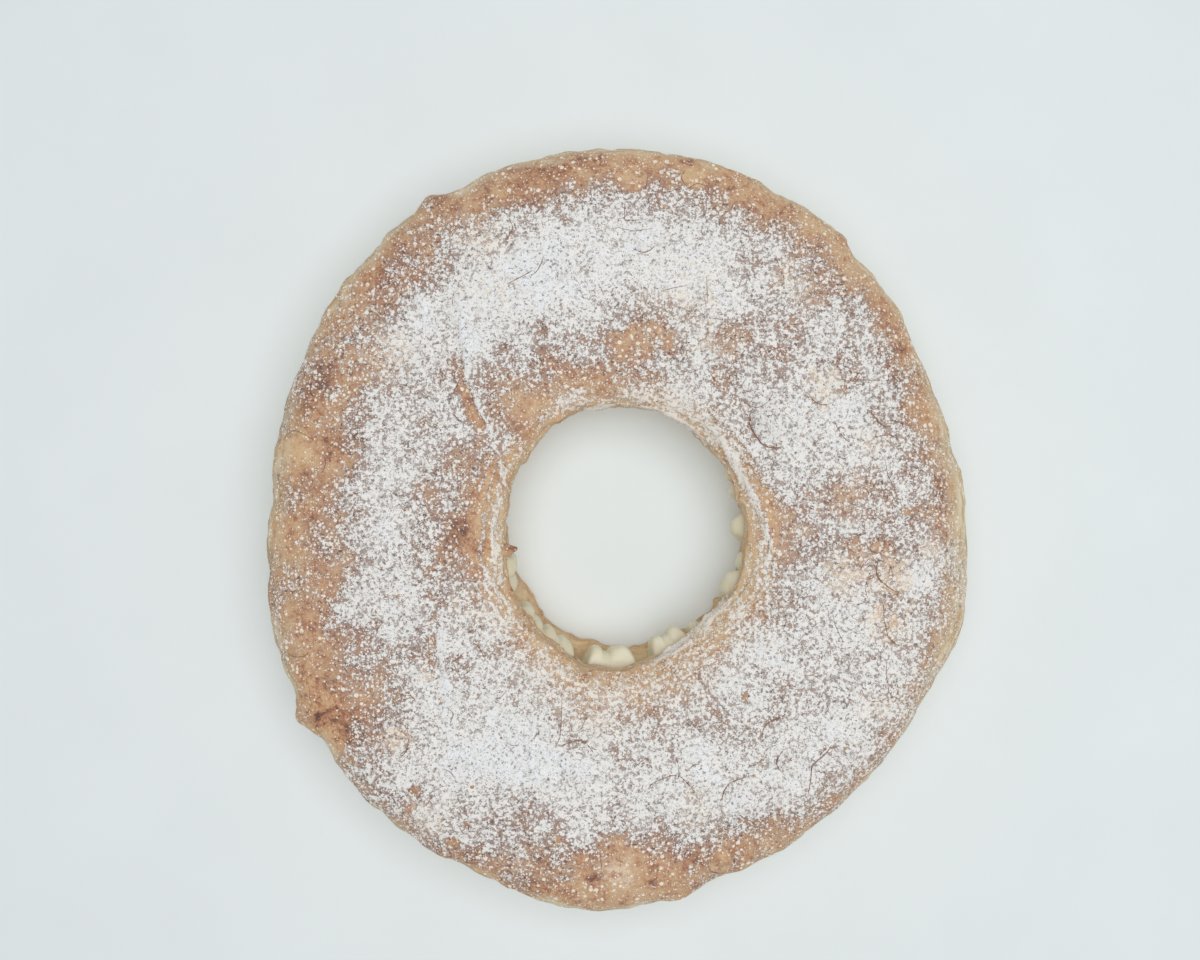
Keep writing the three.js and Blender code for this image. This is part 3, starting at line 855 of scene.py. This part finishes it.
def dusting(ring):
    """How much of the crust the sugar hides, from 0 to 1."""
    x, y = ring.x, ring.y
    share = band_share(ring)
    amount = soft_bump(share, DUST_MIDDLE, DUST_SPREAD, DUST_MOST)
    for at, place, turn, width, more in DRIFTS:
        drift = lobes(ring.angle, ((at, turn, 1),)) * soft_bump(share, place / 100, width / 100, 1)
        amount += more / 100 * drift
    for row in DUST_WAVERS:
        amount += waver(x, y, *row)
    at_edge = 1 - soft_step(from_hole(ring), *BARE_EDGE_FADE)
    amount = np.maximum(amount, 0) * (1 - BARE_EDGE * at_edge)
    streaks = CREST_STREAKS + waver(x, y, *CREST_WAVER)
    crests = CREST_DUST * streaks * np.clip(ring.creases, DEEPEST_CREASE, 1)
    amount = amount + crests - BARE_CRESCENTS * ring.bare
    facing = soft_step(ring.normals()[..., 2], *SLOPE_FADE)
    missed = np.maximum(spots(ring, BARE_SPOTS), SKIN_MISSED * ring.skin)
    amount = np.clip(amount, LEAST_DUST, 1) * facing * (1 - missed)
    return np.maximum(amount, rim_sugar(ring))


# Sugar grains

def unit(rows):
    return rows / np.linalg.norm(rows, axis=-1, keepdims=True)


def grain_places(ring, dust, count):
    """Points on the dusted crust, the way it faces there and how dusted it is."""
    points = ring.points()
    corners = [np.roll(points, (-r, -c), (0, 1)) for r, c in ((0, 0), (1, 0), (1, 1), (0, 1))]
    normal = np.cross(corners[2] - corners[0], corners[3] - corners[1])
    area = np.linalg.norm(normal, axis=-1) / 2
    weight = (area * dust).ravel()
    picked = rng.choice(weight.size, count, p=weight / weight.sum())
    along, over = rng.random((2, count, 1))
    flat = [corner.reshape(-1, 3)[picked] for corner in corners]
    near = flat[0] * (1 - along) + flat[1] * along
    far = flat[3] * (1 - along) + flat[2] * along
    place = near * (1 - over) + far * over
    return place, unit(normal.reshape(-1, 3)[picked]), dust.ravel()[picked]


def joined_grains(place, facing, shape, faces, size):
    """Copies of one small shape, each turned and sized at random, as one mesh."""
    count = len(place)
    turn = rng.uniform(0, 2 * np.pi, count)
    helper = np.stack((np.cos(turn), np.sin(turn), 0 * turn), axis=-1)
    side = unit(np.cross(facing, helper))
    other = np.cross(facing, side)
    scale = between(size, rng.random((count, 1, 1)) ** 2)
    stretch = rng.uniform(*GRAIN_STRETCH, (count, 1, 1))
    jitter = rng.uniform(*GRAIN_JITTER, (count, len(shape), 3))
    local = np.asarray(shape)[None] * jitter * scale
    vertices = (
        place[:, None]
        + local[..., :1] * stretch * side[:, None]
        + local[..., 1:2] / stretch * other[:, None]
        + local[..., 2:] * facing[:, None]
    )
    first = (np.arange(count) * len(shape))[:, None, None]
    return vertices.reshape(-1, 3), (first + np.asarray(faces)[None]).reshape(-1, 3)


# Lifted lips

def lip_line(blister):
    """How bold a blister's lip is, and points along it with the way out from its middle."""
    middle_x, middle_y, radius, rise, start, end = blister
    steps = max(6, int(math.radians(end - start) * radius / LIP_STEP))
    line = []
    for k in range(steps + 1):
        bearing = math.radians(start + (end - start) * k / steps)
        wobble = radius * (1 + LIP_WOBBLE * math.sin(5 * bearing + middle_x))
        out = Vector((math.cos(bearing), math.sin(bearing)))
        line.append((Vector((middle_x, middle_y)) + wobble * out, out))
    least, most = LIP_BOLDNESS
    return min(most, max(least, rise / LIP_FULL_RISE)), line


def torn_line(edge):
    """How bold a torn edge is, and points along it with the way out to one side."""
    bold, *points = edge
    line = []
    for start, end in zip(points, points[1:]):
        start, end = Vector(start), Vector(end)
        along = (end - start).normalized()
        steps = max(2, int((end - start).length / TORN_STEP))
        line.extend((start.lerp(end, k / steps), Vector((along.y, -along.x))) for k in range(steps))
    return bold, line


def raised_strip(tree, bold, line):
    """A thin strip of skin along a line on the crust, pointed at both ends. None if it leaves the crust."""
    rows = []
    for k, (place, out) in enumerate(line):
        taper = bold * math.sqrt(max(0, math.sin(math.pi * k / (len(line) - 1))))
        row = []
        for reach, up in LIP_SECTION:
            x, y = place + reach * between(LIP_WIDTH, taper) * out
            crust = tree.ray_cast(Vector((x, y, LID_HEIGHT * 10)), Vector((0, 0, -1)))[0]
            if crust is None:
                return None
            row.append((x, y, crust.z + up * between(LIP_HEIGHT, taper)))
        row[1] = (row[1][0], row[1][1], max(row[1][2], row[2][2] + LIP_CREST * taper))
        rows.append(row)
    return rows


def strip_mesh(strips):
    """Closed three-sided strips as one mesh."""
    vertices = []
    faces = []
    for rows in strips:
        first = len(vertices)
        vertices.extend(point for row in rows for point in row)
        for k in range(len(rows) - 1):
            for side in range(3):
                here = first + 3 * k + side
                beside = first + 3 * k + (side + 1) % 3
                faces.append((here, here + 3, beside + 3, beside))
        last = first + 3 * (len(rows) - 1)
        faces.append((first, first + 1, first + 2))
        faces.append((last + 2, last + 1, last))
    return np.array(vertices), faces


# Materials

def seen(colour):
    """A colour as seen, from 0 to 255, as a shader colour."""
    share = [part / 255 for part in colour]
    linear = [s / 12.92 if s <= 0.04045 else ((s + 0.055) / 1.055) ** 2.4 for s in share]
    return (*linear, 1)


class Paint:
    """A material whose nodes are added and linked by plain calls."""

    def __init__(self, name):
        self.material = bpy.data.materials.new(name)
        self.material.use_nodes = True
        self.tree = self.material.node_tree
        self.shader = self.tree.nodes["Principled BSDF"]
        self.place = self.add("ShaderNodeTexCoord").outputs["Object"]

    def add(self, kind, inputs=None, **settings):
        node = self.tree.nodes.new(kind)
        for name, value in settings.items():
            setattr(node, name, value)
        for name, value in (inputs or {}).items():
            self.feed(node.inputs[name], value)
        return node

    def feed(self, socket, value):
        if isinstance(value, bpy.types.NodeSocket):
            self.tree.links.new(value, socket)
        else:
            socket.default_value = value

    def finish(self, **inputs):
        for name, value in inputs.items():
            self.feed(self.shader.inputs[name.replace("_", " ")], value)
        return self.material

    def values(self, name):
        return self.add("ShaderNodeAttribute", attribute_name=name).outputs["Fac"]

    def math(self, operation, first, second):
        return self.add("ShaderNodeMath", {0: first, 1: second}, operation=operation).outputs[0]

    def moved(self, operation, second):
        """The place on the piece, with a vector added or multiplied."""
        inputs = {0: self.place, 1: second}
        return self.add("ShaderNodeVectorMath", inputs, operation=operation).outputs[0]

    def noise(self, lump, detail=3, roughness=0.55, place=None):
        """Noise with lumps of that many millimetres."""
        inputs = {"Vector": place or self.place, "Scale": 1 / (lump * MM), "Detail": detail}
        return self.add("ShaderNodeTexNoise", {**inputs, "Roughness": roughness}).outputs["Fac"]

    def range(self, value, low, high, to_low=0.0, to_high=1.0):
        inputs = {"Value": value, "From Min": low, "From Max": high, "To Min": to_low, "To Max": to_high}
        return self.add("ShaderNodeMapRange", inputs).outputs["Result"]

    def mix(self, share, first, second):
        """A mix of two colours, each from a node or as seen."""
        node = self.add("ShaderNodeMix", {0: share}, data_type="RGBA")
        for socket, colour in ((6, first), (7, second)):
            self.feed(node.inputs[socket], seen(colour) if isinstance(colour, tuple) else colour)
        return node.outputs[2]

    def ramp(self, value, stops):
        node = self.add("ShaderNodeValToRGB", {"Fac": value})
        while len(node.color_ramp.elements) < len(stops):
            node.color_ramp.elements.new(0.5)
        for element, (position, colour) in zip(node.color_ramp.elements, stops):
            element.position = position
            element.color = seen(colour)
        return node.outputs["Color"]

    def bump(self, height, distance, strength):
        inputs = {"Height": height, "Distance": distance * MM, "Strength": strength}
        return self.add("ShaderNodeBump", inputs).outputs[0]


def crust_colour(paint, bake_and_shade):
    """Golden to dark brown crust, blotched, finely mottled and scorched in small spots."""
    level = bake_and_shade
    for lump, detail, roughness, *limits in CRUST_MOTTLES:
        mottle = paint.range(paint.noise(lump, detail, roughness), *limits)
        level = paint.math("ADD", level, mottle)
    return paint.ramp(paint.range(level, *CRUST_RANGE), CRUST_STOPS)


def dough_colour(paint):
    """Pale dough in thin level layers, some of them baked golden."""
    level = paint.moved("MULTIPLY", LAYER_STRETCH)
    layers = paint.range(paint.noise(LAYER_THICKNESS, 3, 0.6, level), 0.42, 0.62)
    return paint.mix(layers, PALE_DOUGH, LAYER_GOLD)


def sugar_cover(paint, dust):
    """White where sugar lies: ragged clumps that close up as the dust thickens, and specks between them."""
    clump = paint.math("ADD", paint.noise(CLUMP_SIZE, 5, 0.7), paint.range(dust, *CLUMP_DUST_RANGE))
    cover = paint.range(clump, *CLUMP_RANGE)
    for lump, offset in SPECK_LAYERS:
        place = paint.moved("ADD", (offset, 0, offset))
        cells = paint.add("ShaderNodeTexVoronoi", {"Vector": place, "Scale": 1 / (lump * MM)})
        draw = paint.add("ShaderNodeSeparateColor", {"Color": cells.outputs["Color"]}).outputs
        there = paint.math("LESS_THAN", draw[0], dust)
        radius = paint.range(draw[1], 0, 1, *SPECK_RADIUS)
        inside = paint.math("SUBTRACT", radius, cells.outputs["Distance"])
        spot = paint.range(inside, *SPECK_EDGE_RANGE)
        cover = paint.math("MAXIMUM", cover, paint.math("MULTIPLY", there, spot))
    return cover


def shaded_pits(paint, dust):
    """Ragged pits in the sugar where crust shows through, darkened with painted shade between the grains."""
    place = paint.moved("ADD", PIT_OFFSET)
    pit = paint.range(paint.noise(PIT_SIZE, 3, 0.6, place), *PIT_RANGE)
    return paint.math("MULTIPLY", pit, paint.range(dust, *PIT_DUST_RANGE))


def lid_material():
    paint = Paint("lid_crust")
    dust = paint.values("dust")
    bake_and_shade = paint.values("bake_and_shade")
    crust = crust_colour(paint, bake_and_shade)
    crust = paint.mix(paint.values("pale"), crust, dough_colour(paint))
    film = paint.math("MULTIPLY", paint.values("film"), paint.range(paint.noise(2.6, 3, 0.6), 0.4, 0.6))
    gold = paint.values("gold")
    clear = paint.math("SUBTRACT", 1.0, paint.math("MAXIMUM", film, gold))
    shaded = paint.mix(paint.range(dust, 0.25, 0.75), SHADED_BROWN, SHADED_GREY)
    shaded = paint.mix(paint.range(bake_and_shade, *SCORCH_RANGE), shaded, PIT_SHADE_BROWN)
    crust = paint.mix(paint.math("MULTIPLY", paint.range(dust, *SHADE_RANGE), clear), crust, shaded)
    cover = sugar_cover(paint, dust)
    haze = paint.math("ADD", paint.range(dust, *HAZE_RANGE), paint.math("MULTIPLY", film, 0.5))
    white = paint.math("MAXIMUM", cover, haze)
    height = paint.math("ADD", paint.math("MULTIPLY", cover, 0.6), paint.noise(0.9, 3, 0.6))
    creamy = paint.math("MAXIMUM", film, paint.math("MULTIPLY", gold, 0.6))
    sugar = paint.mix(creamy, sugar_colour(paint, dust), SUGAR_CREAM)
    colour = paint.mix(white, crust, sugar)
    # Painted shade in the pits, browner where the dust is thin and weaker where the crust stays golden or
    # filmed
    pit_shade_colour = paint.mix(paint.range(dust, 0.4, 0.9), PIT_SHADE_BROWN, PIT_SHADE_GREY)
    pits = paint.math("MULTIPLY", shaded_pits(paint, dust), paint.range(clear, 0, 1, 0.25, 1))
    return paint.finish(
        Base_Color=paint.mix(pits, colour, pit_shade_colour),
        Roughness=paint.range(white, 0, 1, 0.5, 0.9),
        Specular_IOR_Level=0.3,
        Normal=paint.bump(height, 0.25, 0.7),
    )


def base_material():
    paint = Paint("base_crust")
    crust = crust_colour(paint, paint.values("bake_and_shade"))
    crust = paint.mix(paint.values("pale"), crust, dough_colour(paint))
    grain = paint.bump(paint.noise(0.9, 3, 0.6), 0.25, 0.7)
    return paint.finish(Base_Color=crust, Roughness=0.7, Normal=grain)


def cream_material():
    paint = Paint("cream")
    colour = paint.mix(paint.range(paint.noise(6, 3), 0.35, 0.65), CREAM_PALE, CREAM_DEEP)
    return paint.finish(
        Base_Color=colour,
        Roughness=0.42,
        Normal=paint.bump(paint.noise(1.2, 2), 0.12, 0.5),
        Subsurface_Weight=0.25,
        Subsurface_Radius=(0.004, 0.003, 0.0015),
        Subsurface_Scale=0.6,
    )


def sugar_colour(paint, dust):
    """White where the sugar lies thick, creamier where the crust shows through."""
    white = paint.mix(paint.range(dust, 0.8, 1), SUGAR_WHITE, SUGAR_COOL)
    white = paint.mix(paint.range(paint.noise(3.4, 3, 0.6), 0.35, 0.65), SUGAR_GREY, white)
    return paint.mix(paint.range(dust, 0.1, 0.5), SUGAR_CREAM, white)


def sugar_material():
    paint = Paint("icing_sugar")
    colour = sugar_colour(paint, paint.values("dust"))
    shade = paint.range(paint.noise(1.6, 2), 0.3, 0.7, 0, 0.25)
    colour = paint.mix(shade, colour, SUGAR_CREAM)
    return paint.finish(Base_Color=colour, Roughness=0.85, Normal=paint.bump(paint.noise(0.2, 2), 0.05, 0.5))


def skin_material(name, pale, dark, lump, grain):
    """Thin baked skin of two colours, in patches of one size and with a grain of another."""
    paint = Paint(name)
    colour = paint.mix(paint.range(paint.noise(lump, 2), 0.35, 0.65), pale, dark)
    return paint.finish(Base_Color=colour, Roughness=0.6, Normal=paint.bump(paint.noise(grain, 2), 0.1, 0.5))


def floor_material():
    paint = Paint("floor")
    colour = paint.mix(paint.range(paint.noise(70, 3), 0.3, 0.7), FLOOR_WHITE, FLOOR_GREY)
    paint.finish(Base_Color=colour, Roughness=0.8)
    return paint.finish(Emission_Color=colour, Emission_Strength=FLOOR_GLOW)


# Pieces

def make_pastry():
    blisters = chance_blisters()
    lid = lid_surface(blisters)
    dust = dusting(lid)
    piece = ring_piece("lid_crust", lid, lid_material(), "lid_pastry")
    # Baking, with painted shade added at the crescents beside the lips and in one fold's hollow
    add_values(piece, "bake_and_shade", baking_and_shade(lid) + CRESCENT_SHADE * lid.bare + SKIN_BAKE * lid.skin)
    # The pale share on the left edge is partly painted light
    add_values(piece, "pale", np.maximum(pale_and_lit_sides(lid), RIM_PALE * lid.rim + SKIN_PALE * lid.skin))
    add_values(piece, "dust", dust)
    add_values(piece, "film", spots(lid, FILMS))
    add_values(piece, "gold", golden(lid))
    make_base()
    make_lips(lid, blisters)
    make_flakes(lid)
    make_sugar(lid, dust)


def make_base():
    base = base_surface()
    piece = ring_piece("base_crust", base, base_material(), "base_pastry")
    at_hole = soft_bump((base.across + 1) * HALF_BAND, 0, BASE_HOLE_REACH, 1)
    on_rim = at_hole * soft_step(base.z, *BASE_HOLE_FADE)
    add_values(piece, "bake_and_shade", baking_and_shade(base) + BASE_HOLE_BAKE * on_rim)
    add_values(piece, "pale", BASE_PALE + BASE_HOLE_PALE * at_hole)


def make_lips(lid, blisters):
    faces, _ = grid_faces(*lid.x.shape)
    tree = BVHTree.FromPolygons(lid.points().reshape(-1, 3).tolist(), faces.tolist())
    lines = [*map(lip_line, blisters), *map(torn_line, TORN_EDGES)]
    strips = [raised_strip(tree, *line) for line in lines]
    vertices, faces = strip_mesh([strip for strip in strips if strip])
    # The lips' dark brown is partly painted shadow under the lifted edges
    material = skin_material("blister_lips", LIP_TAN, LIP_SHADED_BROWN, 5, 0.6)
    new_piece("blister_lips", vertices, faces, material)


def make_flakes(lid):
    on_top = soft_step(lid.normals()[..., 2], *FLAKE_SLOPE_FADE)
    place, facing, _ = grain_places(lid, on_top, FLAKES)
    facing = unit(facing + FLAKE_TILT * rng.normal(size=facing.shape))
    vertices, faces = joined_grains(place, facing, FLAKE_SHAPE, FLAKE_FACES, FLAKE_SIZE)
    material = skin_material("crust_flakes", TAN_CRUST, LIP_TAN, 6, 0.5)
    new_piece("crust_flakes", vertices, faces, material)


def make_sugar(lid, dust):
    material = sugar_material()
    kinds = (
        ("sugar_fine", FINE_GRAINS, FINE_SHAPE, FINE_FACES, FINE_SIZE),
        ("sugar_coarse", COARSE_GRAINS, COARSE_SHAPE, COARSE_FACES, COARSE_SIZE),
    )
    for name, count, shape, faces, size in kinds:
        place, facing, dusted = grain_places(lid, dust, count)
        vertices, triangles = joined_grains(place, facing, shape, faces, size)
        piece = new_piece(name, vertices, triangles, material)
        add_values(piece, "dust", np.repeat(dusted, len(shape)))


def make_cream():
    ring_piece("cream_ridges", cream_surface(), cream_material(), "cream_filling")


def make_floor():
    corners = ((-1, -1), (1, -1), (1, 1), (-1, 1))
    mesh = bpy.data.meshes.new("floor")
    mesh.from_pydata([(x * FLOOR_HALF, y * FLOOR_HALF, 0) for x, y in corners], [], [(0, 1, 2, 3)])
    mesh.materials.append(floor_material())
    floor = add_object("floor", mesh)


def make_camera():
    data = bpy.data.cameras.new("camera")
    data.sensor_width = SENSOR
    data.lens = SENSOR * CAMERA_ABOVE_BELT / VIEW_WIDTH
    camera = add_object("camera", data)
    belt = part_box("lid_pastry")[0].z / MM + LID_BELT
    camera.location = Vector((*CAMERA_PLACE, belt + CAMERA_ABOVE_BELT)) * MM
    bpy.context.scene.camera = camera


def make_light():
    world = bpy.data.worlds.new("soft_room")
    world.use_nodes = True
    background = world.node_tree.nodes["Background"].inputs
    background["Color"].default_value = seen(SKY_TINT)
    background["Strength"].default_value = SKY_STRENGTH
    bpy.context.scene.world = world
    data = bpy.data.lights.new("overhead", "AREA")
    data.shape = "DISK"
    data.size = LAMP_SIZE
    data.energy = LAMP_POWER
    lamp = add_object("overhead", data)
    lamp.location = LAMP_PLACE
    lamp.rotation_euler = (-lamp.location).to_track_quat("-Z", "Y").to_euler()
    view = bpy.context.scene.view_settings
    view.view_transform = "Standard"
    view.look = "None"


SHIFT = frame_shift()
make_camera()
make_light()
make_floor()
make_pastry()
make_cream()
